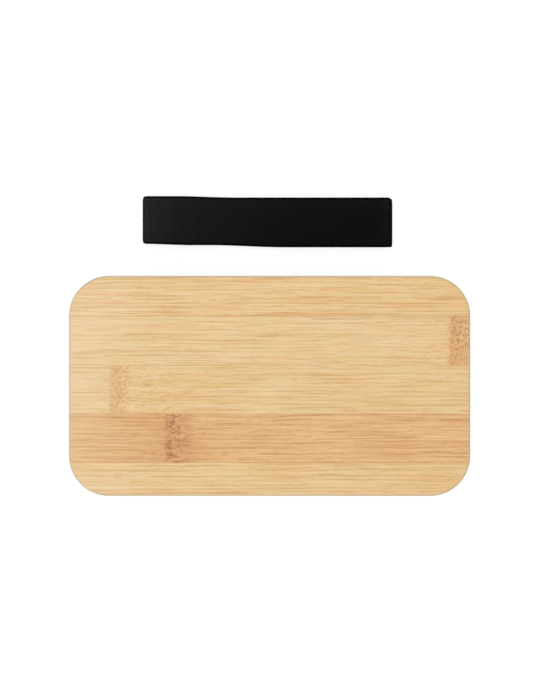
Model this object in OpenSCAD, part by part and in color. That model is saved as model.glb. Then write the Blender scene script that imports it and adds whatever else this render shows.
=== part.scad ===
// Single-tier bento lunch box: a moulded box with a sliding divider, a lid of laminated
// bamboo with a silicone seal, and a woven elastic band that lies beside the box.
// X runs along the long side, Y from front to back and Z up. The origin is the middle
// of the box's base, on the table.

/* [Lid] */
// Length of the lid board along X
lid_w = 185; // [150:0.5:240]
// Depth of the lid board along Y
lid_d = 101.5; // [84:0.5:140]
// Corner radius of the lid board
lid_r = 18.5; // [15:0.5:30]
// Thickness of the upper ply, the board that shows
board_t = 6.5; // [4:0.1:10]
// Rounding of the board's upper edge
board_round = 1; // [0.4:0.1:2]
// Rounding of the board's lower edge
board_under_round = 0.5; // [0.2:0.1:1]
// Thickness of the lower ply, the plug that goes into the box
plug_h = 5; // [4.4:0.1:8]

/* [Bamboo strips] */
// Width of the strips in the upper ply
strip_w = 22.5; // [16:0.5:24]
// How far the upper ply's glue lines sit off the middle, towards the back
strip_shift = -1.6; // [-3:0.1:3]
// Width of the strips in the lower ply
plug_strip_w = 24; // [16:0.5:28]
// How far the lower ply's glue lines sit off the middle, towards the back
plug_strip_shift = -1.2; // [-3:0.1:3]

/* [Seal] */
// Gap between the plug and the box's wall
plug_gap = 0.9; // [0.6:0.05:1.5]
// Height of the groove in the plug's side
groove_h = 2.2; // [1.6:0.1:3]
// Depth of the groove in the plug's side
groove_depth = 1.6; // [1:0.1:2.4]
// Room for the seal in its groove
seal_room = 0.2; // [0.1:0.05:0.4]
// Height of the seal's lip
lip_h = 1.2; // [0.8:0.1:1.4]
// Running gap between the seal's lip and the box's wall
lip_gap = 0.3; // [0.2:0.05:0.5]

/* [Box] */
// Height of the box without its lid
box_h = 52; // [40:0.5:80]
// How far the lid stands out past the rim on each side
overhang = 0.5; // [0:0.1:2]
// Thickness of the walls
wall = 2; // [1.4:0.1:2.6]
// Thickness of the floor
floor_t = 2.2; // [1.4:0.1:4]
// Thickness of the rim collar
rim_wall = 2.8; // [2.7:0.05:3.6]
// Height of the rim collar
rim_h = 7; // [5:0.1:12]
// Rounding of the rim's edges
rim_round = 0.5; // [0.2:0.05:0.8]
// Draft of the walls, in degrees
draft = 1.5; // [0.5:0.1:3]
// Outer radius where the walls meet the base
base_round = 5; // [2:0.5:7]
// Inner radius where the walls meet the floor
floor_round = 6; // [3:0.5:8]

/* [Divider] */
// Thickness of the divider's plate
divider_t = 1.6; // [1.2:0.1:2.4]
// Length of the divider's foot and end flanges along X
flange_l = 12; // [6:0.5:20]
// Thickness of the divider's foot and end flanges
flange_t = 1.4; // [1:0.1:2]
// How far the end flanges stop below the top of the plate
flange_drop = 5; // [2:0.5:12]
// Radius of the bead along the top of the plate
bead_r = 1.5; // [1.3:0.1:2]
// How far the bead stops short of the plate's ends
bead_end = 3; // [1:0.5:8]
// Running gap between the divider and the box
divider_gap = 0.3; // [0.2:0.05:0.5]
// Room between the divider and the lid's plug
divider_head = 2; // [1:0.5:6]

/* [Band] */
// Length of the band, lying flat as a closed loop
band_l = 118.5; // [90:0.5:150]
// Width of the webbing
band_w = 22.8; // [15:0.1:30]
// Thickness of the webbing
webbing_t = 1.3; // [1:0.1:1.6]
// Gap between the band and the back edge of the lid
band_gap = 15.3; // [5:0.1:40]
// How far the band lies off the middle of the box along X
band_x = -1; // [-20:0.5:20]
// How far the band lies turned from X, in degrees
band_turn = -0.6; // [-3:0.1:3]
// Length of the lap where the webbing's ends are sewn together
lap_l = 14; // [8:0.5:20]
// How far the lap lies from the loop's left fold
lap_inset = 10; // [6:0.5:20]
// Length of one stitch
stitch_l = 2.4; // [1.5:0.1:3]
// Width of the sewing thread
thread_w = 0.5; // [0.3:0.05:0.7]
// Height of the sewing thread above the lap
thread_h = 0.15; // [0.1:0.05:0.25]
// Number of stitches in each row
stitches = 9; // [5:1:12]

/* [Hidden] */
LID_STRIPS = 5;
PLUG_STRIPS = 4;
STITCH_ROWS = 2;
$fn = 96;

// every outline round the box is measured outwards from the same four corner centres
core_w = lid_w - 2 * lid_r;
core_d = lid_d - 2 * lid_r;
rim_r = lid_r - overhang;
inner_r = rim_r - rim_wall;
plug_r = inner_r - plug_gap;
groove_r = plug_r - groove_depth;
collar_z = box_h - rim_h;
plug_z = box_h - plug_h;
groove_z = plug_z + (plug_h - groove_h) / 2;
seal_h = groove_h - seal_room;
divider_top = plug_z - divider_head;
band_y = lid_d / 2 + band_gap + band_w / 2;
loop_h = 3 * webbing_t + seal_room;
bamboo = [0.9, 0.77, 0.57];
bamboo_edge = [0.84, 0.7, 0.5];
small = 0.01;

// Points along an arc about [x, z], from angle a to angle b
function arc(x, z, r, a, b, steps) =
    [for (i = [0 : steps]) let (t = a + (b - a) * i / steps) [x + r * cos(t), z + r * sin(t)]];

// The drafted wall's distance from the corner centre at height z, for a wall face
// that stands at distance top_r under the collar
function drafted(top_r, z) = top_r - (collar_z - z) * tan(draft);

// The lower corner of a drafted wall face: an arc of radius r that touches the
// horizontal at height z and the wall face, from the bottom to the wall
function foot_arc(top_r, z, r, steps) =
    let (touch_z = z + r - r * sin(draft))
    arc(drafted(top_r, touch_z) - r * cos(draft), z + r, r, -90, -draft, steps);

// Right half of the hollow's cross-section, shrunk by inset, from the floor up to top_z
function hollow_half(inset, top_z) = concat(
    foot_arc(inner_r - inset, floor_t + inset, floor_round - inset, 8),
    top_z > collar_z ? [[inner_r - inset, collar_z]] : [],
    [[top_z > collar_z ? inner_r - inset : drafted(inner_r - inset, top_z), top_z]]
);

// Carries a profile round the box: X is the distance from the corner centre, Y the height
module carried_round() {
    for (turn = [0 : 3]) {
        along_x = turn % 2 == 0;
        half = (along_x ? [core_w, core_d] : [core_d, core_w]) / 2;
        rotate([0, 0, 90 * turn]) {
            translate([half[0], half[1], 0])
                rotate_extrude(angle = 90)
                    children();
            translate([half[0], half[1], 0])
                rotate([90, 0, 0])
                    linear_extrude(2 * half[1])
                        children();
        }
    }
}

// The part of a plate that lies inside the corner centres
module core_plate(z, h) {
    translate([-core_w / 2, -core_d / 2, z])
        cube([core_w, core_d, h]);
}

module box_body() {
    floor_half = foot_arc(inner_r, floor_t, floor_round, 8);
    color([0.87, 0.86, 0.83]) {
        carried_round()
            polygon(concat(
                [[0, 0]],
                foot_arc(rim_r - rim_wall + wall, 0, base_round, 8),
                [
                    [inner_r + wall, collar_z],
                    [rim_r, collar_z + rim_wall - wall]
                ],
                arc(rim_r - rim_round, box_h - rim_round, rim_round, 0, 90, 4),
                arc(inner_r + rim_round, box_h - rim_round, rim_round, 90, 180, 4),
                [[inner_r, collar_z]],
                [for (i = [len(floor_half) - 1 : -1 : 0]) floor_half[i]],
                [[0, floor_t]]
            ));
        core_plate(0, floor_t);
    }
}

// The divider's outline across the box, shrunk by inset
module divider_outline(inset, top_z) {
    half = [for (p = hollow_half(inset, top_z)) [p[0] + core_d / 2, p[1]]];
    polygon(concat(
        half,
        [for (i = [len(half) - 1 : -1 : 0]) [-half[i][0], half[i][1]]]
    ));
}

module divider() {
    flange_top = divider_top - flange_drop;
    bead_half = core_d / 2 + drafted(inner_r - divider_gap, divider_top) - bead_end;
    color([0.8, 0.79, 0.76]) {
        translate([-divider_t / 2, 0, 0])
            rotate([90, 0, 90])
                linear_extrude(divider_t)
                    divider_outline(divider_gap, divider_top);
        translate([-flange_l / 2, 0, 0])
            rotate([90, 0, 90])
                linear_extrude(flange_l)
                    difference() {
                        divider_outline(divider_gap, flange_top);
                        divider_outline(divider_gap + flange_t, flange_top + 1);
                    }
        translate([0, 0, divider_top - bead_r])
            rotate([90, 0, 0])
                cylinder(h = 2 * bead_half, r = bead_r, center = true);
    }
}

// The strip of a ply between its glue lines, counted from the back.
// Glue lines lie at shift, and every width to both sides of it.
module strip(i, count, width, shift) {
    back = i == 1 ? lid_d : shift + width * (count / 2 - i + 1);
    front = i == count ? -lid_d : shift + width * (count / 2 - i);
    intersection() {
        children();
        translate([-lid_w, front, 0])
            cube([2 * lid_w, back - front, 2 * box_h]);
    }
}

module lid_board() {
    carried_round()
        polygon(concat(
            [[0, box_h]],
            arc(lid_r - board_under_round, box_h + board_under_round,
                board_under_round, -90, 0, 4),
            arc(lid_r - board_round, box_h + board_t - board_round,
                board_round, 0, 90, 6),
            [[0, box_h + board_t]]
        ));
    core_plate(box_h, board_t);
}

module lid_plug() {
    carried_round()
        polygon([
            [0, plug_z],
            [plug_r, plug_z],
            [plug_r, groove_z],
            [groove_r, groove_z],
            [groove_r, groove_z + groove_h],
            [plug_r, groove_z + groove_h],
            [plug_r, box_h],
            [0, box_h]
        ]);
    core_plate(plug_z, plug_h);
}

module lid_strip(i) {
    color(i % 2 == 0 ? bamboo : bamboo_edge)
        strip(i, LID_STRIPS, strip_w, strip_shift)
            lid_board();
}

module plug_strip(i) {
    color(i % 2 == 0 ? bamboo_edge : bamboo)
        strip(i, PLUG_STRIPS, plug_strip_w, plug_strip_shift)
            lid_plug();
}

module seal_ring() {
    back_r = groove_r + seal_room / 2;
    lip_r = lip_h / 2;
    lip_z = groove_z + seal_h / 2;
    color([0.93, 0.93, 0.91])
        carried_round()
            polygon(concat(
                [[back_r, groove_z], [plug_r, groove_z], [plug_r, lip_z - lip_r]],
                arc(inner_r - lip_gap - lip_r / 2, lip_z, lip_r / 2, -90, 90, 6),
                [[plug_r, lip_z + lip_r], [plug_r, groove_z + seal_h], [back_r, groove_z + seal_h]]
            ));
}

// Puts something drawn about the loop's middle where the band lies
module at_band() {
    translate([band_x, band_y, 0])
        rotate([0, 0, band_turn])
            children();
}

// Side view of a flattened loop: length l and height h
module flat_loop(l, h) {
    for (side = [-1, 1])
        translate([side * (l - h) / 2, loop_h / 2])
            circle(d = h);
    translate([-(l - h) / 2, (loop_h - h) / 2])
        square([l - h, h]);
}

module band_webbing() {
    color([0.12, 0.12, 0.12])
        at_band()
            translate([0, band_w / 2, 0])
                rotate([90, 0, 0])
                    linear_extrude(band_w) {
                        difference() {
                            flat_loop(band_l, loop_h);
                            flat_loop(band_l - 2 * webbing_t, loop_h - 2 * webbing_t);
                        }
                        translate([lap_inset - band_l / 2, webbing_t - small])
                            square([lap_l, webbing_t + small]);
                    }
}

module band_stitching() {
    pitch = band_w / stitches;
    row_gap = lap_l / STITCH_ROWS;
    color([0.2, 0.2, 0.2])
        at_band()
            for (row = [0 : STITCH_ROWS - 1], i = [0 : stitches - 1])
                translate([
                    lap_inset - band_l / 2 + row_gap * (row + 0.5) - stitch_l / 2,
                    pitch * (i + 0.5 - stitches / 2) - thread_w / 2,
                    2 * webbing_t
                ])
                    cube([stitch_l, thread_w, thread_h]);
}

box_body();
divider();
seal_ring();
band_webbing();
band_stitching();
for (i = [1 : LID_STRIPS])
    lid_strip(i);
for (i = [1 : PLUG_STRIPS])
    plug_strip(i);
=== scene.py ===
import math

import bmesh
import bpy
from mathutils import Matrix, Vector


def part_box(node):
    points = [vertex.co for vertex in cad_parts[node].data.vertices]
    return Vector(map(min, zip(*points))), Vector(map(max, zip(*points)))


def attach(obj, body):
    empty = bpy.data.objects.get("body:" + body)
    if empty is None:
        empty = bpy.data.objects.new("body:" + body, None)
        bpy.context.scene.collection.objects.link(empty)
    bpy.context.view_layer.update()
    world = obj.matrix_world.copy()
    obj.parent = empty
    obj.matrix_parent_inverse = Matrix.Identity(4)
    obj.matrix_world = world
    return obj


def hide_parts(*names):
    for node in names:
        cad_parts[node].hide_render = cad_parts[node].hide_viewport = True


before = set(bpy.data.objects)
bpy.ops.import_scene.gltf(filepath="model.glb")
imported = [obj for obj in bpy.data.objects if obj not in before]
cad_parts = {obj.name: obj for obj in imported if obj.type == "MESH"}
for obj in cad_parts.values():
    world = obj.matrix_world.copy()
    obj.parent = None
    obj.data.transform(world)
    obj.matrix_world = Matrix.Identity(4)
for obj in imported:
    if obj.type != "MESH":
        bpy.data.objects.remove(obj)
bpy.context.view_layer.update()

MM = 0.001

# ------------------------------------------------------------------ sizes, in metres


def span(*nodes):
    """(lowest corner, highest corner) round several CAD nodes."""
    corners = [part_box(node) for node in nodes]
    low = Vector(min(c[0][axis] for c in corners) for axis in range(3))
    high = Vector(max(c[1][axis] for c in corners) for axis in range(3))
    return low, high


BOARD_STRIPS = [f"lid_strip_{i}" for i in range(1, 6)]
PLUG_STRIPS = [f"plug_strip_{i}" for i in range(1, 5)]
BOARD_LOW, BOARD_HIGH = span(*BOARD_STRIPS)
PLUG_LOW, PLUG_HIGH = span(*PLUG_STRIPS)
BOX_LOW, BOX_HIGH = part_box("box_body")
SEAL_LOW, SEAL_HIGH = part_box("seal_ring")
BAND_LOW, BAND_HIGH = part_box("band_webbing")

# outlines round the box share four corner centres, and radii are measured from them
BOARD_RADIUS = 18.5 * MM
CORE = Vector((BOARD_HIGH.x - BOARD_RADIUS, BOARD_HIGH.y - BOARD_RADIUS))
RIM_RADIUS = BOX_HIGH.x - CORE.x
PLUG_RADIUS = PLUG_HIGH.x - CORE.x
LIP_RADIUS = SEAL_HIGH.x - CORE.x

BOARD_ARRIS = 1.0 * MM
BOARD_UNDER_ARRIS = 0.5 * MM
GROOVE_DEPTH = 1.6 * MM
GROOVE_HEIGHT = 2.2 * MM
WALL = 2.0 * MM
RIM_WALL = 2.8 * MM
RIM_HEIGHT = 7.0 * MM
RIM_ARRIS = 0.5 * MM
FLOOR_THICKNESS = 2.2 * MM
BASE_ROUND = 5.0 * MM
FLOOR_ROUND = 6.0 * MM
DRAFT = math.radians(1.5)

WEBBING_THICKNESS = 1.3 * MM
LAP_LENGTH = 14.0 * MM
LAP_INSET = 10.0 * MM
RIB_PITCH = 1.28 * MM

# ------------------------------------------------------------------ mesh tools


def arc(x, z, radius, start, end, steps):
    """Points along an arc about (x, z), from angle start to angle end, in degrees."""
    angles = [math.radians(start + (end - start) * i / steps) for i in range(steps + 1)]
    return [(x + radius * math.cos(a), z + radius * math.sin(a)) for a in angles]


def carried_round(profile, closed=False, steps=96):
    """A bmesh of a profile carried round the box: x is the distance from the corner centres.

    The profile is spun about one axis, and its four quarters are then drawn apart to the
    corner centres, so that the faces between them become the straight sides."""
    bm = bmesh.new()
    line = [bm.verts.new((x, 0, z)) for x, z in profile]
    pairs = list(zip(line, line[1:])) + ([(line[-1], line[0])] if closed else [])
    edges = [bm.edges.new(pair) for pair in pairs]
    bmesh.ops.rotate(bm, verts=line, matrix=Matrix.Rotation(math.pi / steps, 3, "Z"))
    bmesh.ops.spin(bm, geom=line + edges, axis=(0, 0, 1), cent=(0, 0, 0),
                   angle=2 * math.pi, steps=steps, use_merge=True)
    bmesh.ops.remove_doubles(bm, verts=bm.verts, dist=1e-7)
    corners = {}
    for v in bm.verts:
        corners.setdefault((math.copysign(1, v.co.x), math.copysign(1, v.co.y)), []).append(v)
    for (side_x, side_y), verts in corners.items():
        bmesh.ops.translate(bm, verts=verts, vec=(side_x * CORE.x, side_y * CORE.y, 0))
    if not closed:
        fill_holes(bm)
    bmesh.ops.recalc_face_normals(bm, faces=bm.faces)
    return bm


def fill_holes(bm):
    """Closes each open outline with one flat face."""
    rims = [e for e in bm.edges if e.is_boundary]
    bmesh.ops.holes_fill(bm, edges=rims, sides=0)


def keep_between(bm, front, back):
    """Cuts a closed solid down to what lies between two planes across Y."""
    for y, outwards in ((front, -1), (back, 1)):
        geom = bm.verts[:] + bm.edges[:] + bm.faces[:]
        bmesh.ops.bisect_plane(bm, geom=geom, dist=1e-7, plane_co=(0, y, 0),
                               plane_no=(0, outwards, 0), clear_outer=True)
        fill_holes(bm)
    bmesh.ops.recalc_face_normals(bm, faces=bm.faces)


def shade(bm, crease=32):
    """Smooth faces, with edges that turn more than crease degrees left sharp."""
    for face in bm.faces:
        face.smooth = True
    for edge in bm.edges:
        if len(edge.link_faces) == 2:
            edge.smooth = edge.calc_face_angle(0) < math.radians(crease)


def piece(name, bm, body, slot, material, *nodes):
    """Makes a finished piece from a bmesh, riding on a body and standing for its nodes."""
    shade(bm)
    mesh = bpy.data.meshes.new(name)
    bm.to_mesh(mesh)
    bm.free()
    mesh.materials.append(material)
    obj = bpy.data.objects.new(name, mesh)
    bpy.context.scene.collection.objects.link(obj)
    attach(obj, body)
    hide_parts(*nodes)
    return obj


def bevel_sharp(bm, width, segments=2, crease=32):
    """Rounds every edge that turns more than crease degrees."""
    sharp = [e for e in bm.edges
             if len(e.link_faces) == 2 and e.calc_face_angle(0) > math.radians(crease)]
    bmesh.ops.bevel(bm, geom=sharp, offset=width, affect="EDGES", segments=segments,
                    profile=0.5, material=-1, clamp_overlap=True)


# ------------------------------------------------------------------ shader tools


def paint(red, green, blue):
    """A colour given as 0 to 255 on a paint card, as the linear colour that shaders use."""
    def linear(value):
        value /= 255
        return value / 12.92 if value <= 0.04045 else ((value + 0.055) / 1.055) ** 2.4
    return (linear(red), linear(green), linear(blue), 1.0)


class Wiring:
    """Adds nodes to one shader tree. An input is a value, or the socket that feeds it."""

    def __init__(self, tree):
        self.tree = tree

    def add(self, kind, inputs=None, **settings):
        node = self.tree.nodes.new(kind)
        for name, value in settings.items():
            setattr(node, name, value)
        for key, value in (inputs or {}).items():
            if isinstance(value, bpy.types.NodeSocket):
                self.tree.links.new(value, node.inputs[key])
            else:
                node.inputs[key].default_value = value
        return node

    def maths(self, operation, *values, clamp=False):
        inputs = dict(enumerate(values))
        return self.add("ShaderNodeMath", inputs, operation=operation, use_clamp=clamp).outputs[0]

    def scaled(self, value, factor, offset=0.0):
        return self.maths("MULTIPLY_ADD", value, factor, offset)

    def step(self, value, low, high, to_low=0.0, to_high=1.0):
        """A soft step from to_low to to_high as value goes from low to high."""
        inputs = {0: value, 1: low, 2: high, 3: to_low, 4: to_high}
        node = self.add("ShaderNodeMapRange", inputs, interpolation_type="SMOOTHSTEP")
        return node.outputs[0]

    def profile(self, value, stops):
        """A smooth curve through (value, share) stops, and level beyond the last ones."""
        low, high = stops[0][0], stops[-1][0]
        node = self.add("ShaderNodeValToRGB", {0: self.step_between(value, low, high)})
        ramp = node.color_ramp
        ramp.interpolation = "EASE"
        while len(ramp.elements) < len(stops):
            ramp.elements.new(1.0)
        for element, (at, share) in zip(ramp.elements, stops):
            element.position = (at - low) / (high - low)
            element.color = (share, share, share, 1.0)
        return node.outputs[0]

    def step_between(self, value, low, high):
        return self.add("ShaderNodeMapRange", {0: value, 1: low, 2: high}).outputs[0]

    def blend(self, share, under, over, kind="MIX"):
        inputs = {0: share, 6: under, 7: over}
        return self.add("ShaderNodeMix", inputs, data_type="RGBA", blend_type=kind).outputs[2]

    def split(self, vector):
        return self.add("ShaderNodeSeparateXYZ", {0: vector}).outputs[:3]

    def join(self, x, y, z):
        return self.add("ShaderNodeCombineXYZ", {0: x, 1: y, 2: z}).outputs[0]

    def noise(self, place, scale=1.0, detail=2.0, roughness=0.5):
        inputs = {"Vector": place, "Scale": scale, "Detail": detail, "Roughness": roughness}
        return self.add("ShaderNodeTexNoise", inputs).outputs["Fac"]

    def place(self):
        """Where a point lies in the row frame, in millimetres."""
        where = self.add("ShaderNodeTexCoord").outputs["Object"]
        return self.add("ShaderNodeMapping", {"Vector": where, "Scale": (1000, 1000, 1000)}).outputs[0]

    def group(self, tree, **inputs):
        node = self.add("ShaderNodeGroup", node_tree=tree)
        for name, value in inputs.items():
            socket = node.inputs[name.replace("_", " ")]
            if isinstance(value, bpy.types.NodeSocket):
                self.tree.links.new(value, socket)
            else:
                socket.default_value = value
        return node.outputs

    def bump(self, height, distance, strength=1.0):
        inputs = {"Height": height, "Distance": distance, "Strength": strength}
        return self.add("ShaderNodeBump", inputs).outputs[0]


def new_group(name, takes, gives):
    """(tree, wiring, what it takes, what it gives) of a new shader group."""
    tree = bpy.data.node_groups.new(name, "ShaderNodeTree")
    for direction, sockets in (("INPUT", takes), ("OUTPUT", gives)):
        for socket, kind in sockets.items():
            tree.interface.new_socket(socket, in_out=direction, socket_type="NodeSocket" + kind)
    wiring = Wiring(tree)
    return tree, wiring, wiring.add("NodeGroupInput").outputs, wiring.add("NodeGroupOutput").inputs


def new_material(name):
    """(material, wiring) with an empty tree."""
    material = bpy.data.materials.new(name)
    material.use_nodes = True
    material.node_tree.nodes.clear()
    return material, Wiring(material.node_tree)


def finish_surface(wiring, **inputs):
    """Ends a material with a Principled shader."""
    named = {name.replace("_", " "): value for name, value in inputs.items()}
    shader = wiring.add("ShaderNodeBsdfPrincipled", named)
    wiring.add("ShaderNodeOutputMaterial", {"Surface": shader.outputs[0]})


# ------------------------------------------------------------------ bamboo


def fibre_group():
    """Bamboo fibres that run along X. Dark and Light are thin lines, Warm, Olive and Pale are
    slow drifts of colour, and Flecks are short marks. Wander bends the fibres, in mm."""
    tree, w, taken, given = new_group(
        "bamboo_fibres",
        {"Place": "Vector", "Seed": "Float", "Wander": "Float"},
        {"Dark": "Float", "Light": "Float", "Warm": "Float", "Olive": "Float", "Pale": "Float",
         "Flecks": "Float"},
    )
    x, y, z = w.split(taken["Place"])
    along = w.scaled(taken["Seed"], 61.7, x)
    level = w.scaled(taken["Seed"], 13.1, y)

    def streaks(across, length, width, detail):
        stretched = w.join(w.scaled(along, 1 / length), w.scaled(across, 1 / width), w.scaled(z, 1 / width))
        return w.noise(stretched, detail=detail)

    def give(name, value):
        w.tree.links.new(value, given[name])

    def near(value, level, reach):
        return w.step(w.maths("ABSOLUTE", w.maths("SUBTRACT", value, level)), reach, 0.1 * reach)

    bend = w.scaled(streaks(level, 22, 7, 1.5), 2, -1)
    across = w.maths("MULTIPLY_ADD", bend, taken["Wander"], level)
    bundles = streaks(across, 120, 1.3, 1.2)
    fine = streaks(across, 24, 0.44, 2)
    strength = w.step(streaks(across, 30, 1.1, 1), 0.36, 0.6, 0.25, 1.0)
    phase = w.scaled(streaks(across, 160, 6, 1), 15)
    rows = w.maths("SINE", w.maths("MULTIPLY_ADD", across, 2 * math.pi / 2.05, phase))
    lengths = w.step(streaks(across, 21, 1.0, 1.5), 0.4, 0.62)
    dark = w.maths("MULTIPLY", near(bundles, 0.47, 0.04), strength)
    dark = w.maths("MAXIMUM", dark, w.maths("MULTIPLY", w.step(rows, 0.6, 0.98, 0.0, 0.95), lengths))
    light = w.maths("MULTIPLY", near(bundles, 0.54, 0.04), w.scaled(strength, -0.6, 1.1))
    light = w.maths("MAXIMUM", light, w.maths("MULTIPLY", w.step(rows, -0.6, -0.98, 0.0, 0.9),
                                              w.scaled(lengths, -0.7, 1.0)))
    give("Dark", w.maths("MAXIMUM", dark, w.step(fine, 0.54, 0.7, 0.0, 0.78)))
    give("Light", w.maths("MAXIMUM", light, w.step(fine, 0.46, 0.3, 0.0, 0.7)))
    give("Warm", w.step(streaks(across, 46, 3.4, 2), 0.47, 0.64))
    give("Olive", w.step(streaks(level, 24, 4.1, 2), 0.47, 0.64))
    give("Pale", w.step(streaks(w.scaled(across, -1), 31, 3.7, 2), 0.48, 0.66))
    give("Flecks", w.step(streaks(across, 3.6, 0.6, 1), 0.5, 0.68))
    return tree


def knuckle_group():
    """What grows at a bamboo knuckle: how far a point lies from its middle, along X, the
    worm-like mottle, and the dots and pale pips of its cut vessels."""
    tree, w, taken, given = new_group(
        "bamboo_knuckle",
        {"Place": "Vector", "Middle": "Float", "Ragged": "Float", "Grain": "Float", "Seed": "Float"},
        {"Offset": "Float", "Mottle": "Float", "Dots": "Float", "Pips": "Float"},
    )
    x, y, z = w.split(taken["Place"])
    wobble = w.noise(w.join(taken["Seed"], w.scaled(y, 1 / 3.6), w.scaled(z, 1 / 3.6)), detail=3)
    ragged = w.maths("MULTIPLY", w.scaled(wobble, 2, -1), taken["Ragged"])
    offset = w.maths("ADD", w.maths("SUBTRACT", x, taken["Middle"]), ragged)
    w.tree.links.new(offset, given["Offset"])
    worms = w.add("ShaderNodeTexNoise", {
        "Vector": w.join(w.maths("MULTIPLY_ADD", x, 1 / 1.75, taken["Seed"]), w.scaled(y, 1 / 1.2),
                         w.scaled(z, 1 / 1.2)),
        "Scale": w.maths("DIVIDE", 1.0, taken["Grain"]), "Detail": 1.5, "Distortion": 1.3,
    })
    w.tree.links.new(w.step(worms.outputs["Fac"], 0.47, 0.6), given["Mottle"])
    cells = w.add("ShaderNodeTexVoronoi", {
        "Vector": w.join(w.maths("MULTIPLY_ADD", x, 1 / 1.35, taken["Seed"]), w.scaled(y, 1 / 1.75), 0.0),
        "Scale": 1.0, "Randomness": 0.8,
    }, voronoi_dimensions="2D")
    w.tree.links.new(w.step(cells.outputs["Distance"], 0.33, 0.1), given["Dots"])
    w.tree.links.new(w.step(cells.outputs["Distance"], 0.42, 0.62), given["Pips"])
    return tree


FIBRES = fibre_group()
KNUCKLE = knuckle_group()
NOWHERE = 1000.0


def bamboo(name, seed, base, warm, olive, line, pale=paint(238, 210, 164),
           joints=(NOWHERE, NOWHERE), knuckle=None, contrast=1.0, wander=0.4, left_painted_light=0.24,
           right_painted_shade=0.4, front_warmth=((0, 0.0), (1, 0.0))):
    """Sanded bamboo. Joints are the Y of the strip's glue lines, in millimetres. A knuckle
    gives its middle and, at distances from it, the shares of its tint, mottle and dots."""
    material, w = new_material(name)
    place = w.place()
    x, y, z = w.split(place)
    if knuckle:
        marks = w.group(KNUCKLE, Place=place, Middle=knuckle["middle"], Ragged=knuckle["ragged"],
                        Grain=knuckle["grain"], Seed=seed)
        offset = marks["Offset"]
        swirl = w.profile(offset, knuckle["swirl"])
        wander = w.scaled(swirl, 1.1, wander)
    fibres = w.group(FIBRES, Place=place, Seed=seed, Wander=wander)

    def share(value, amount):
        return w.maths("MULTIPLY", value, amount)

    front = w.maths("ABSOLUTE", w.maths("SUBTRACT", y, joints[0]))
    back = w.maths("ABSOLUTE", w.maths("SUBTRACT", y, joints[1]))
    by_front = w.profile(x, front_warmth)
    # painted shade: the right end turns darker and warmer, away from the light on the left
    colour = w.blend(w.step(x, 30, 90, 0.0, right_painted_shade), base, warm)
    colour = w.blend(share(w.step(front, 3.2, 0.6), by_front), colour, warm)
    colour = w.blend(share(fibres["Warm"], 0.8), colour, warm)
    colour = w.blend(share(fibres["Olive"], 0.7), colour, olive)
    colour = w.blend(share(fibres["Pale"], 0.5), colour, pale)
    calm = w.scaled(swirl, -0.45, 1.0) if knuckle else 1.0
    colour = w.blend(share(fibres["Flecks"], 0.33), colour, line)
    colour = w.blend(share(share(fibres["Dark"], calm), 0.82 * contrast), colour, line)
    colour = w.blend(share(share(fibres["Light"], calm), 0.64 * contrast), colour, pale)
    if knuckle:
        colour = w.blend(share(share(fibres["Flecks"], swirl), 0.4), colour, line)
        tint = w.profile(offset, knuckle["tint"])
        streaky = share(tint, w.maths("ADD", w.scaled(fibres["Dark"], 0.5, 0.7), w.scaled(fibres["Warm"], 0.3)))
        colour = w.blend(w.maths("MINIMUM", streaky, 1.0), colour, knuckle["colour"])
        mottle = share(marks["Mottle"], w.profile(offset, knuckle["mottle"]))
        colour = w.blend(share(mottle, 0.75), colour, knuckle["dark"])
        torn = share(w.maths("MAXIMUM", fibres["Flecks"], fibres["Dark"]), w.profile(offset, knuckle["torn"]))
        colour = w.blend(share(torn, 0.6), colour, knuckle["dark"])
        dotted = share(w.profile(offset, knuckle["dots"]), w.profile(y, knuckle["rows"]))
        colour = w.blend(share(share(marks["Pips"], dotted), knuckle["pips"]), colour, paint(243, 208, 156))
        colour = w.blend(share(share(marks["Dots"], dotted), 0.9), colour, knuckle["dark"])

    glue = w.step(w.maths("MINIMUM", front, back), 0.4, 0.1)
    patchy = w.step(w.noise(w.join(w.scaled(x, 1 / 13), seed, 0.0), detail=2), 0.35, 0.62, 0.1, 0.75)
    patchy = w.maths("ADD", patchy, w.scaled(by_front, 0.6), clamp=True)
    colour = w.blend(share(glue, patchy), colour, line)
    # painted light: the left end turns paler, where more light falls from the left
    painted_left_light = w.step(x, -94, -50, left_painted_light, 0.0)
    colour = w.blend(painted_left_light, colour, paint(246, 226, 190))
    # painted shade: the rounded top edge is tinted grey where it turns away from the light, less on its steep outer
    # part
    top = BOARD_HIGH.z / MM
    arris_painted_shade = share(w.step(z, top - 0.001, top - 0.03), w.step(z, top - 0.9, top - 0.3, 0.35, 1.0))
    colour = w.blend(share(arris_painted_shade, 0.6), colour, paint(203, 188, 160))

    grooves = w.maths("ADD", fibres["Dark"], glue)
    normal = w.bump(w.scaled(grooves, -1), 0.02 * MM)
    roughness = w.scaled(fibres["Light"], -0.08, 0.56)
    finish_surface(w, Base_Color=colour, Roughness=roughness, Normal=normal, Specular_IOR_Level=0.25)
    return material


def strip_joints(nodes, index):
    """The Y of a strip's front and back glue lines, in millimetres, or nowhere at an edge."""
    low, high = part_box(nodes[index])
    front = NOWHERE if index == len(nodes) - 1 else low.y / MM
    back = NOWHERE if index == 0 else high.y / MM
    return front, back


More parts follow.
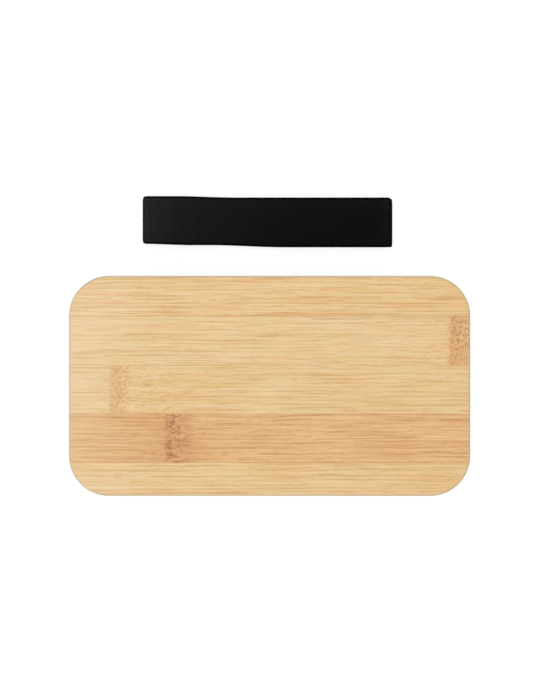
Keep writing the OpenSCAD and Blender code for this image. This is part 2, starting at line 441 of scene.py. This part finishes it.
RIGHT_KNUCKLE = dict(
    middle=87.2, ragged=0.8, grain=1.1, pips=0.25,
    colour=paint(226, 177, 123), dark=paint(176, 115, 62),
    swirl=((-40, 0.0), (-22, 0.4), (-6, 0.6), (0, 0.6)),
    tint=((-7.0, 0.0), (-4.7, 0.3), (-3.3, 1.0), (0, 1.0), (3, 0.9), (6, 0.7)),
    mottle=((-5.2, 0.0), (-4.2, 0.5), (-3.0, 0.65), (0, 0.6), (3, 0.35), (6, 0.3)),
    torn=((-5, 0.0), (-3, 0.3), (6, 0.2)),
    dots=((-2.4, 0.0), (-1.0, 1.0), (6, 1.0)),
    rows=((17, 0.0), (18.5, 0.9), (30, 0.9), (31, 0.0)),
)
LEFT_KNUCKLE = dict(
    middle=-69.2, ragged=0.6, grain=0.8, pips=0.45,
    colour=paint(229, 180, 122), dark=paint(186, 134, 80),
    swirl=((-14, 0.0), (-6, 0.7), (8, 1.0), (26, 0.7), (44, 0.0)),
    tint=((-7.2, 0.0), (-5.0, 0.25), (-3.8, 1.0), (-0.8, 1.0), (0.8, 0.5), (4, 0.35), (5.2, 0.0)),
    mottle=((-5.0, 0.0), (-3.8, 0.7), (0, 0.75), (4, 0.3), (5.2, 0.0)),
    torn=((-4, 0.0), (0, 0.0)),
    dots=((-1.2, 0.0), (-0.2, 0.8), (4.0, 0.8), (5.0, 0.0)),
    rows=((-12, 0.2), (-8, 1.0)),
)
DARK_KNUCKLE = dict(
    middle=-45.4, ragged=1.2, grain=1.6, pips=0.0,
    colour=paint(213, 159, 112), dark=paint(163, 102, 66),
    swirl=((-18, 0.0), (-4, 0.5), (5, 0.7), (24, 0.0)),
    tint=((-30, 0.0), (-12, 0.1), (-6, 0.3), (-2.6, 0.6), (-1.2, 1.0), (1.2, 1.0), (2.8, 0.65),
          (8.3, 0.58), (10.5, 0.3), (15, 0.0)),
    mottle=((-3.4, 0.0), (-1.8, 0.8), (0, 1.0), (3.2, 0.9), (5.0, 0.45), (8.5, 0.35), (10.5, 0.0)),
    torn=((-14, 0.0), (-3, 0.3), (2, 0.1), (4.5, 0.4), (8.5, 0.35), (12, 0.0)),
    dots=((0, 0.0), (1, 0.0)),
    rows=((0, 0.0), (1, 0.0)),
)


def make_board():
    """The upper ply: five strips that show, with rounded arrises all round."""
    top, bottom, r = BOARD_HIGH.z, BOARD_LOW.z, BOARD_RADIUS
    profile = [
        (MM, bottom),
        (r - BOARD_UNDER_ARRIS - 0.4 * MM, bottom),
        *arc(r - BOARD_UNDER_ARRIS, bottom + BOARD_UNDER_ARRIS, BOARD_UNDER_ARRIS, -90, 0, 5),
        (r, bottom + BOARD_UNDER_ARRIS + 0.4 * MM),
        (r, top - BOARD_ARRIS - 0.4 * MM),
        *arc(r - BOARD_ARRIS, top - BOARD_ARRIS, BOARD_ARRIS, 0, 90, 8),
        (r - BOARD_ARRIS - 0.4 * MM, top),
        (MM, top),
    ]
    looks = [
        dict(seed=1.3, wander=0.3, base=paint(235, 201, 148), warm=paint(235, 186, 126), olive=paint(227, 193, 130),
             line=paint(203, 155, 98),
             front_warmth=((-75, 0.0), (-55, 0.8), (30, 0.8), (48, 0.25), (80, 0.5))),
        dict(seed=2.6, base=paint(236, 203, 154), warm=paint(235, 192, 138), olive=paint(230, 199, 140),
             line=paint(207, 166, 110), knuckle=RIGHT_KNUCKLE),
        dict(seed=3.2, base=paint(234, 201, 151), warm=paint(233, 189, 131), olive=paint(227, 195, 131),
             line=paint(204, 160, 104), knuckle=LEFT_KNUCKLE),
        dict(seed=4.7, base=paint(228, 185, 131), warm=paint(226, 170, 111), olive=paint(220, 177, 118),
             line=paint(191, 133, 84), pale=paint(237, 198, 144), knuckle=DARK_KNUCKLE, left_painted_light=0.12,
             contrast=0.92, right_painted_shade=0.12),
        dict(seed=5.5, wander=0.2, base=paint(234, 199, 147), warm=paint(233, 185, 126), olive=paint(226, 193, 129),
             line=paint(203, 156, 99)),
    ]
    for index, (node, look) in enumerate(zip(BOARD_STRIPS, looks)):
        low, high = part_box(node)
        bm = carried_round(profile)
        keep_between(bm, low.y, high.y)
        slot = "bamboo_board_dark" if index == 3 else "bamboo_board"
        material = bamboo(f"bamboo_board_{index + 1}", joints=strip_joints(BOARD_STRIPS, index), **look)
        piece(f"board_strip_{index + 1}", bm, "lid", slot, material, node)


def make_plug():
    """The lower ply: four strips that plug the box, with a groove for the seal."""
    top, bottom, r = PLUG_HIGH.z, PLUG_LOW.z, PLUG_RADIUS
    middle = (top + bottom) / 2
    low_groove, high_groove = middle - GROOVE_HEIGHT / 2, middle + GROOVE_HEIGHT / 2
    ease = 0.35 * MM
    profile = [
        (MM, bottom),
        (r - ease - 0.3 * MM, bottom),
        *arc(r - ease, bottom + ease, ease, -90, 0, 4),
        (r, low_groove),
        (r - GROOVE_DEPTH, low_groove),
        (r - GROOVE_DEPTH, high_groove),
        (r, high_groove),
        (r, top),
        (MM, top),
    ]
    for index, node in enumerate(PLUG_STRIPS):
        low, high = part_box(node)
        bm = carried_round(profile)
        keep_between(bm, low.y, high.y)
        material = bamboo(f"bamboo_plug_{index + 1}", seed=7.1 + 1.9 * index, base=paint(231, 198, 147),
                          warm=paint(230, 184, 127), olive=paint(224, 191, 132), line=paint(202, 156, 100),
                          joints=strip_joints(PLUG_STRIPS, index))
        piece(f"plug_ply_{index + 1}", bm, "lid", "bamboo_plug", material, node)


# ------------------------------------------------------------------ mouldings and seal


def moulded_group():
    """The fine spark-eroded skin of a moulding: its grain and its slow clouds."""
    tree, w, taken, given = new_group(
        "moulded_skin", {"Place": "Vector", "Grain": "Float"}, {"Grain": "Float", "Clouds": "Float"})
    fine = w.noise(w.join(*(w.maths("DIVIDE", axis, taken["Grain"]) for axis in w.split(taken["Place"]))),
                   detail=3, roughness=0.6)
    clouds = w.noise(taken["Place"], scale=1 / 32, detail=2)
    w.tree.links.new(fine, given["Grain"])
    w.tree.links.new(clouds, given["Clouds"])
    return tree


MOULDED = moulded_group()


def moulding(name, colour, shadow, roughness):
    """Matte polypropylene."""
    material, w = new_material(name)
    skin = w.group(MOULDED, Place=w.place(), Grain=0.32)
    tone = w.blend(w.step(skin["Clouds"], 0.3, 0.7, 0.35, 0.65), shadow, colour)
    rough = w.scaled(skin["Clouds"], 0.08, roughness)
    finish_surface(w, Base_Color=tone, Roughness=rough, Normal=w.bump(skin["Grain"], 0.02 * MM),
                   Specular_IOR_Level=0.4)
    return material


def silicone():
    """Soft, slightly clouded white silicone."""
    material, w = new_material("clouded_silicone")
    skin = w.group(MOULDED, Place=w.place(), Grain=0.8)
    tone = w.blend(skin["Clouds"], paint(226, 226, 222), paint(238, 238, 235))
    finish_surface(w, Base_Color=tone, Roughness=0.42, Normal=w.bump(skin["Grain"], 0.01 * MM),
                   Subsurface_Weight=0.25, Subsurface_Radius=(0.002, 0.002, 0.002))
    return material


def drafted(radius, z):
    """A drafted wall's distance from the corner centres at height z."""
    collar = BOX_HIGH.z - RIM_HEIGHT
    return radius - (collar - z) * math.tan(DRAFT)


def foot_arc(radius, z, bend, steps):
    """The bend between a floor at height z and the drafted wall above it."""
    touch = z + bend - bend * math.sin(DRAFT)
    centre = drafted(radius, touch) - bend * math.cos(DRAFT)
    return arc(centre, z + bend, bend, -90, -math.degrees(DRAFT), steps)


def make_box():
    """The box: drafted walls with a thick rim, rounded into its base and its floor."""
    top, collar = BOX_HIGH.z, BOX_HIGH.z - RIM_HEIGHT
    inner, outer = RIM_RADIUS - RIM_WALL, RIM_RADIUS - RIM_WALL + WALL
    proud = RIM_WALL - WALL
    floor = foot_arc(inner, FLOOR_THICKNESS, FLOOR_ROUND, 14)
    base = foot_arc(outer, 0, BASE_ROUND, 14)
    hold = 0.4 * MM
    profile = [
        (MM, 0),
        (base[0][0] - hold, 0),
        *base,
        (drafted(outer, base[-1][1] + hold), base[-1][1] + hold),
        (drafted(outer, collar - hold), collar - hold),
        *arc(outer + 0.3 * MM, collar - 0.1 * MM, 0.3 * MM, 180, 120, 3),
        *arc(RIM_RADIUS - 0.3 * MM, collar + proud + 0.1 * MM, 0.3 * MM, -50, 0, 3),
        (RIM_RADIUS, collar + proud + hold),
        (RIM_RADIUS, top - RIM_ARRIS - hold),
        *arc(RIM_RADIUS - RIM_ARRIS, top - RIM_ARRIS, RIM_ARRIS, 0, 90, 6),
        *arc(inner + RIM_ARRIS, top - RIM_ARRIS, RIM_ARRIS, 90, 180, 6),
        (inner, top - RIM_ARRIS - hold),
        (inner, collar),
        (drafted(inner, floor[-1][1] + hold), floor[-1][1] + hold),
        *reversed(floor),
        (floor[0][0] - hold, FLOOR_THICKNESS),
        (MM, FLOOR_THICKNESS),
    ]
    bm = carried_round(profile, steps=128)
    material = moulding("box_polypropylene", paint(226, 224, 218), paint(220, 218, 211), 0.46)
    piece("moulded_box", bm, "box", "box_plastic", material, "box_body")


def make_divider():
    """The divider: its moulded shape with every edge eased."""
    bm = bmesh.new()
    bm.from_mesh(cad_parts["divider"].data)
    bmesh.ops.remove_doubles(bm, verts=bm.verts, dist=1e-6)
    bmesh.ops.dissolve_limit(bm, angle_limit=math.radians(1), verts=bm.verts, edges=bm.edges)
    bevel_sharp(bm, 0.22 * MM)
    material = moulding("divider_polypropylene", paint(216, 214, 208), paint(209, 207, 200), 0.44)
    piece("moulded_divider", bm, "divider", "divider_plastic", material, "divider")


def make_seal():
    """The seal: a square back in the groove and a rounded lip that leans out."""
    root = PLUG_RADIUS - GROOVE_DEPTH + 0.1 * MM
    low, high, middle = SEAL_LOW.z, SEAL_HIGH.z, (SEAL_LOW.z + SEAL_HIGH.z) / 2
    lip = 0.3 * MM
    profile = [
        (root, low),
        (PLUG_RADIUS - 0.1 * MM, low),
        (PLUG_RADIUS, middle - 2 * lip),
        *arc(LIP_RADIUS - lip, middle, lip, -80, 80, 8),
        (PLUG_RADIUS, middle + 2 * lip),
        (PLUG_RADIUS - 0.1 * MM, high),
        (root, high),
    ]
    bm = carried_round(profile, closed=True)
    piece("silicone_seal", bm, "lid", "silicone", silicone(), "seal_ring")


# ------------------------------------------------------------------ elastic band


def band_middle():
    return (BAND_LOW + BAND_HIGH) / 2


def smooth_step(value, low, high):
    t = min(1.0, max(0.0, (value - low) / (high - low)))
    return t * t * (3 - 2 * t)


def band_line():
    """The band's centreline as (x, z) points: the sewn lap, the lower run, the right fold,
    the upper run that sags on to the lower one and climbs over the lap, and the left fold."""
    t = WEBBING_THICKNESS
    half = (BAND_HIGH.x - BAND_LOW.x) / 2
    right_bend, left_bend = 0.95 * MM, 1.25 * MM
    right, left = half - t / 2 - right_bend, -half + t / 2 + left_bend
    lap_start, lap_end = -half + LAP_INSET, -half + LAP_INSET + LAP_LENGTH
    step = 2 * MM

    def run(start, end, height):
        count = max(2, round(abs(end - start) / step))
        xs = [start + (end - start) * i / count for i in range(count + 1)]
        return [(x, height(x)) for x in xs]

    def lower(x):
        return t / 2 + t * (1 - smooth_step(x, lap_end, lap_end + 4 * MM))

    def upper(x):
        over_fold = (2 * right_bend - t) * smooth_step(x, right - 16 * MM, right)
        over_lap = t * (1 - smooth_step(x, lap_end, lap_end + 9 * MM))
        fall = (2 * left_bend - 2 * t) * (1 - smooth_step(x, left, left + 6 * MM))
        return 1.5 * t + over_fold + over_lap + fall

    return [
        *run(lap_start, right, lower),
        *arc(right, t / 2 + right_bend, right_bend, -80, 80, 8),
        *run(right, left, upper),
        *arc(left, t / 2 + left_bend, left_bend, 100, 260, 8),
        *run(left, lap_end, lambda x: t / 2),
    ]


def even_points(line, pitch):
    """Points every pitch along a line, with their directions and distances along it."""
    points = [Vector((x, 0, z)) for x, z in line]
    found, walked, target = [], 0.0, 0.0
    for a, b in zip(points, points[1:]):
        length = (b - a).length
        while target <= walked + length:
            found.append((a.lerp(b, (target - walked) / length), (b - a).normalized(), target))
            target += pitch
        walked += length
    return found, walked


def band_edges(x):
    """Where the flattened loop's front and back edges lie, in Y from its middle line."""
    back = 12.22 - 0.6 * smooth_step(x, -44 * MM, -16 * MM)
    front = -10.5 - 0.6 * smooth_step(x, -60 * MM, -36 * MM) - 1.02 * smooth_step(x, -28 * MM, 7 * MM)
    return front * MM, back * MM


def make_band():
    """The band: one length of ribbed elastic webbing, folded flat and lapped on itself."""
    per_rib, across = 6, 16
    stations, length = even_points(band_line(), RIB_PITCH / per_rib)
    middle = band_middle()
    half = (BAND_HIGH.x - BAND_LOW.x) / 2
    bm = bmesh.new()
    bmesh.ops.create_grid(bm, x_segments=len(stations) - 1, y_segments=across, size=0.5)
    rib_height = bm.verts.layers.float.new("rib")
    edge_share = bm.verts.layers.float.new("edge")
    skin = {}
    for v in bm.verts:
        index = round((v.co.x + 0.5) * (len(stations) - 1))
        side = 2 * v.co.y
        at, heading, walked = stations[index]
        normal = Vector((-heading.z, 0, heading.x))
        wave = 0.5 + 0.5 * math.cos(2 * math.pi * walked / RIB_PITCH)
        fold_left = math.exp(-((at.x + half) / (1.0 * MM)) ** 2)
        fold_right = math.exp(-((half - at.x) / (1.2 * MM)) ** 2)
        pull = 0.8 * MM * fold_left + (1.1 if side > 0 else 0.2) * MM * fold_right
        front, back = band_edges(at.x + middle.x)
        width = (back - front) / 2 - pull - 0.09 * MM * (1 - wave)
        skin[v] = (normal, wave, side)
        v.co = at + Vector((middle.x, middle.y + (back + front) / 2 + side * width, 0))
        v[rib_height] = wave
        v[edge_share] = side
    piece_thickness(bm, skin)
    obj = piece("elastic_band", bm, "band", "webbing", webbing(), "band_webbing")
    return length


def piece_thickness(bm, skin):
    """Turns the webbing's middle surface into a closed strip with a rib on each side."""
    rib = 0.1 * MM
    upper = {}
    copied = bmesh.ops.duplicate(bm, geom=bm.verts[:] + bm.edges[:] + bm.faces[:])
    pairs = [(old, new) for old, new in copied["vert_map"].items() if old in skin]
    for old, new in pairs:
        normal, wave, side = skin[old]
        taper = 1 - 0.45 * smooth_step(abs(side), 0.86, 1.0)
        lift = normal * ((WEBBING_THICKNESS / 2 - rib) * taper + rib * wave * taper)
        upper[new] = lift
        new.co = new.co + lift
        old.co = old.co - lift
    rims = [e for e in bm.edges if e.is_boundary]
    bmesh.ops.bridge_loops(bm, edges=rims)
    bmesh.ops.recalc_face_normals(bm, faces=bm.faces)


def webbing():
    """Black woven elastic: ribs across and fine rubber lines along, with painted sheen towards the left, painted shade
    between the ribs and painted near-black shade along both edges.
    """
    material, w = new_material("black_elastic")
    x, y, z = w.split(w.place())
    rib = w.add("ShaderNodeAttribute", attribute_name="rib").outputs["Fac"]
    edge = w.add("ShaderNodeAttribute", attribute_name="edge").outputs["Fac"]
    ends = w.noise(w.join(w.scaled(x, 1 / 0.9), w.scaled(y, 1 / 0.5), w.scaled(z, 1 / 0.5)), detail=2)
    cords = w.maths("SINE", w.scaled(y, 2 * math.pi / 0.62))
    # painted sheen: the band is lighter at the left fold and fades towards the right, with a little more at the right
    # fold and towards the back edge
    painted_sheen = w.profile(x, ((-60.4, 0.0), (-59.8, 0.1), (-59.2, 1.0), (-58.6, 0.95), (-57.4, 0.7), (-50, 0.56), (-42, 0.4),
                         (-27, 0.3), (-12, 0.22), (3, 0.14), (20, 0.08), (50, 0.06), (56, 0.16), (57.6, 0.0)))
    painted_sheen = w.maths("ADD", painted_sheen, w.step(edge, 0.2, 0.95, 0.0, 0.1))
    colour = w.blend(painted_sheen, paint(12, 12, 12), paint(45, 45, 45))
    colour = w.blend(w.step(ends, 0.35, 0.7, 0.0, 0.3), colour, paint(8, 8, 8))
    # painted shade in the valleys between the ribs
    colour = w.blend(w.step(rib, 0.7, 0.1, 0.0, 0.22), colour, paint(6, 6, 6))
    # painted shade: both edges of the band turn near black
    painted_edge_shade = w.step(w.maths("ABSOLUTE", edge), 0.9, 0.945)
    colour = w.blend(painted_edge_shade, colour, paint(1, 1, 1))
    height = w.maths("ADD", w.scaled(cords, 0.5), ends)
    finish_surface(w, Base_Color=colour, Roughness=0.85, Normal=w.bump(height, 0.05 * MM),
                   Specular_IOR_Level=0.04)
    return material


def thread():
    """Black polyester sewing thread."""
    material, w = new_material("black_thread")
    twist = w.maths("SINE", w.scaled(w.maths("ADD", *w.split(w.place())[:2]), 2 * math.pi / 0.3))
    colour = w.blend(w.scaled(twist, 0.5, 0.5), paint(20, 20, 20), paint(38, 38, 38))
    finish_surface(w, Base_Color=colour, Roughness=0.6, Normal=w.bump(twist, 0.03 * MM),
                   Specular_IOR_Level=0.2)
    return material


def make_stitching():
    """Two rows of short stitches that lean to and fro across the lap."""
    low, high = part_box("band_stitching")
    rows, count, lean = 2, 9, 22
    length, radius = 2.3 * MM, 0.22 * MM
    bm = bmesh.new()
    for row in range(rows):
        x = low.x + length / 2 + (high.x - low.x - length) * row / (rows - 1)
        for i in range(count):
            y = low.y + (high.y - low.y) * (i + 0.5) / count
            turn = math.radians(lean if (i + row) % 2 else -lean)
            shape = (Matrix.Translation((x, y, low.z))
                     @ Matrix.Rotation(turn, 4, "Z")
                     @ Matrix.Diagonal((length / 2, radius, 0.14 * MM, 1)))
            bmesh.ops.create_uvsphere(bm, u_segments=12, v_segments=8, radius=1,
                                      matrix=shape @ Matrix.Rotation(math.pi / 2, 4, "Y"))
    piece("lap_stitches", bm, "band", "thread", thread(), "band_stitching")


# ------------------------------------------------------------------ stage, light, camera


def looked_at(w):
    """1 where the camera, a mirror or glass looks at a surface, and 0 where light is gathered."""
    path = w.add("ShaderNodeLightPath").outputs
    seen = w.maths("MAXIMUM", path["Is Camera Ray"], path["Is Glossy Ray"])
    return w.maths("MAXIMUM", seen, path["Is Transmission Ray"])


def make_floor():
    """A white floor that keeps the object's shadow and runs into the white backdrop."""
    bm = bmesh.new()
    bmesh.ops.create_grid(bm, x_segments=1, y_segments=1, size=6,
                          matrix=Matrix.Translation((0, 0, -0.05 * MM)))
    mesh = bpy.data.meshes.new("floor")
    bm.to_mesh(mesh)
    bm.free()
    floor = bpy.data.objects.new("floor", mesh)
    bpy.context.scene.collection.objects.link(floor)
    material, w = new_material("white_floor")
    bounce, shown, own = 0.8, 0.34, 0.76
    x, y, z = w.split(w.place())
    away = w.maths("SQRT", w.maths("ADD", w.maths("MULTIPLY", x, x), w.maths("MULTIPLY", y, y)))
    seen = looked_at(w)
    far = w.step(away, 260, 800)
    white = w.step(far, 0, 1, own, 1.0)
    shade = w.blend(seen, (bounce, bounce, bounce, 1), w.blend(far, (shown, shown, shown, 1), (0, 0, 0, 1)))
    surface = w.add("ShaderNodeBsdfDiffuse", {"Color": shade})
    glow = w.add("ShaderNodeEmission", {"Strength": w.maths("MULTIPLY", seen, white)})
    both = w.add("ShaderNodeAddShader", {0: surface.outputs[0], 1: glow.outputs[0]})
    w.add("ShaderNodeOutputMaterial", {"Surface": both.outputs[0]})
    mesh.materials.append(material)


def make_world(strength):
    """Even white light from all round, with pure white behind the object."""
    world = bpy.data.worlds.new("studio")
    bpy.context.scene.world = world
    world.use_nodes = True
    world.node_tree.nodes.clear()
    w = Wiring(world.node_tree)
    level = w.step(looked_at(w), 0, 1, strength, 1.0)
    background = w.add("ShaderNodeBackground", {"Color": (1, 1, 1, 1), "Strength": level})
    w.add("ShaderNodeOutputWorld", {"Surface": background.outputs[0]})


def softbox(name, place, size, power):
    """A square lamp that faces the middle of the lid."""
    lamp = bpy.data.lights.new(name, "AREA")
    lamp.shape = "SQUARE"
    lamp.size = size
    lamp.energy = power
    obj = bpy.data.objects.new(name, lamp)
    obj.location = place
    aim = Vector((0, 0, BOARD_HIGH.z)) - Vector(place)
    obj.rotation_euler = aim.to_track_quat("-Z", "Y").to_euler()
    bpy.context.scene.collection.objects.link(obj)


def make_light():
    make_world(0.65)
    softbox("overhead", (-0.12, 0.0, 1.6), 1.3, 8.4)
    softbox("left", (-1.2, -0.7, 0.9), 0.8, 3.0)


def make_camera():
    """Looks straight down, with the lid low in the picture and the band above it."""
    lens, sensor = 200.0, 36.0
    seen_height = 322.5 * MM
    lens_above_lid = seen_height * lens / sensor
    camera = bpy.data.cameras.new("camera")
    camera.lens = lens
    camera.sensor_width = sensor
    camera.clip_end = 20
    obj = bpy.data.objects.new("camera", camera)
    obj.location = (0.2 * MM, 16.55 * MM, BOARD_HIGH.z + lens_above_lid)
    bpy.context.scene.collection.objects.link(obj)
    bpy.context.scene.camera = obj


make_camera()
make_light()
make_floor()
make_board()
make_plug()
make_seal()
make_box()
make_divider()
make_band()
make_stitching()
bpy.context.scene.view_settings.view_transform = "Standard"
